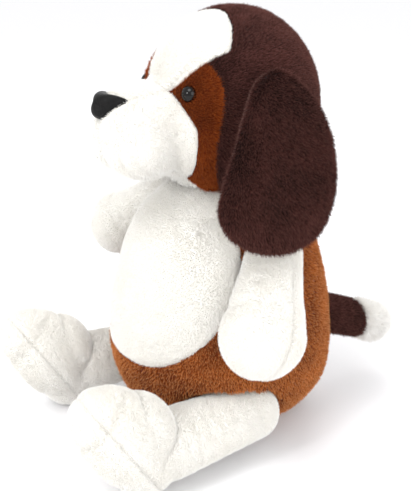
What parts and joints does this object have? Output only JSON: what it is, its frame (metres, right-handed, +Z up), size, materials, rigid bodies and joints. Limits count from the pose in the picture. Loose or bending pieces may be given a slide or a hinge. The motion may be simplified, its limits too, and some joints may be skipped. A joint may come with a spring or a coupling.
{
  "type": "plush dog",
  "caption": "Seated plush dog with a white belly and blaze, dark drop ears, brown body, and sewn arms, legs and tail that flex.",
  "frame": {"origin": "centre of the flat patch under the seat, on the floor", "axes": "+Z up, -Y the way the dog faces, +X the dog's left"},
  "size_m": [0.3335, 0.3915, 0.3732],
  "materials": {
    "brown_pile": "short brushed pile",
    "white_pile": "short brushed pile",
    "dark_pile": "soft brushed pile",
    "rust_pile": "short brushed pile",
    "ear_lining_pile": "short brushed pile",
    "stuffing": "loose fibre",
    "pouch_cloth": "plain woven",
    "pellets": "moulded beads",
    "black_plastic": "polished",
    "washer_plastic": "moulded"
  },
  "bodies": {
    "torso": {"torso_back_cover": "brown_pile", "belly_panel": "white_pile", "base_panel": "brown_pile", "torso_stuffing": "stuffing", "pellet_pouch": "pouch_cloth", "pellets": "pellets"},
    "neck": {"neck_wadding": "stuffing"},
    "head": {"head_side_left": "dark_pile", "head_side_right": "dark_pile", "blaze_panel": "white_pile", "chin_panel": "white_pile", "eye_patch_left": "rust_pile", "eye_patch_right": "rust_pile", "muzzle_cover": "white_pile", "head_stuffing": "stuffing", "eye_left": "black_plastic", "eye_right": "black_plastic", "eye_washer_left": "washer_plastic", "eye_washer_right": "washer_plastic", "nose": "black_plastic", "nose_washer": "washer_plastic"},
    "ear_left": {"ear_outer_left": "dark_pile", "ear_lining_left": "ear_lining_pile", "ear_wadding_left": "stuffing"},
    "ear_right": {"ear_outer_right": "dark_pile", "ear_lining_right": "ear_lining_pile", "ear_wadding_right": "stuffing"},
    "arm_left": {"arm_cover_left": "white_pile", "arm_stuffing_left": "stuffing"},
    "arm_right": {"arm_cover_right": "white_pile", "arm_stuffing_right": "stuffing"},
    "leg_left": {"leg_cover_left": "white_pile", "sole_left": "white_pile", "leg_stuffing_left": "stuffing"},
    "leg_right": {"leg_cover_right": "white_pile", "sole_right": "white_pile", "leg_stuffing_right": "stuffing"},
    "tail": {"tail_sleeve": "dark_pile", "tail_tip": "white_pile", "tail_stuffing": "stuffing"}
  },
  "joints": [
    {"name": "neck_turn", "type": "hinge", "parent": "torso", "child": "neck", "pos_m": [0, 0, 0.17], "axis": [0, 0, 1], "range_deg": [-20, 20], "stiffness_Nm_per_rad": 1.5},
    {"name": "head_nod", "type": "hinge", "parent": "neck", "child": "head", "pos_m": [0, 0, 0.17], "axis": [1, 0, 0], "range_deg": [-8, 12], "stiffness_Nm_per_rad": 4},
    {"name": "ear_left_flap", "type": "hinge", "parent": "head", "child": "ear_left", "pos_m": [0.07465, 0.014, 0.32738], "axis": [0, -1, 0], "range_deg": [0, 65]},
    {"name": "ear_right_flap", "type": "hinge", "parent": "head", "child": "ear_right", "pos_m": [-0.07465, 0.014, 0.32738], "axis": [0, 1, 0], "range_deg": [0, 65]},
    {"name": "arm_left_swing", "type": "hinge", "parent": "torso", "child": "arm_left", "pos_m": [0.09207, -0.004, 0.1896], "axis": [-1, 0, 0], "range_deg": [-25, 32], "stiffness_Nm_per_rad": 0.6},
    {"name": "arm_right_swing", "type": "hinge", "parent": "torso", "child": "arm_right", "pos_m": [-0.09207, -0.004, 0.1896], "axis": [-1, 0, 0], "range_deg": [-25, 32], "stiffness_Nm_per_rad": 0.6},
    {"name": "leg_left_spread", "type": "hinge", "parent": "torso", "child": "leg_left", "pos_m": [0.078, -0.013, 0.042], "axis": [0, 0, 1], "range_deg": [-1.5, 28], "stiffness_Nm_per_rad": 0.4},
    {"name": "leg_right_spread", "type": "hinge", "parent": "torso", "child": "leg_right", "pos_m": [-0.078, -0.013, 0.042], "axis": [0, 0, -1], "range_deg": [-1.5, 28], "stiffness_Nm_per_rad": 0.4},
    {"name": "tail_wag", "type": "hinge", "parent": "torso", "child": "tail", "pos_m": [0, 0.102, 0.0804], "axis": [0, 0, 1], "range_deg": [-21, 21], "stiffness_Nm_per_rad": 0.08}
  ]
}
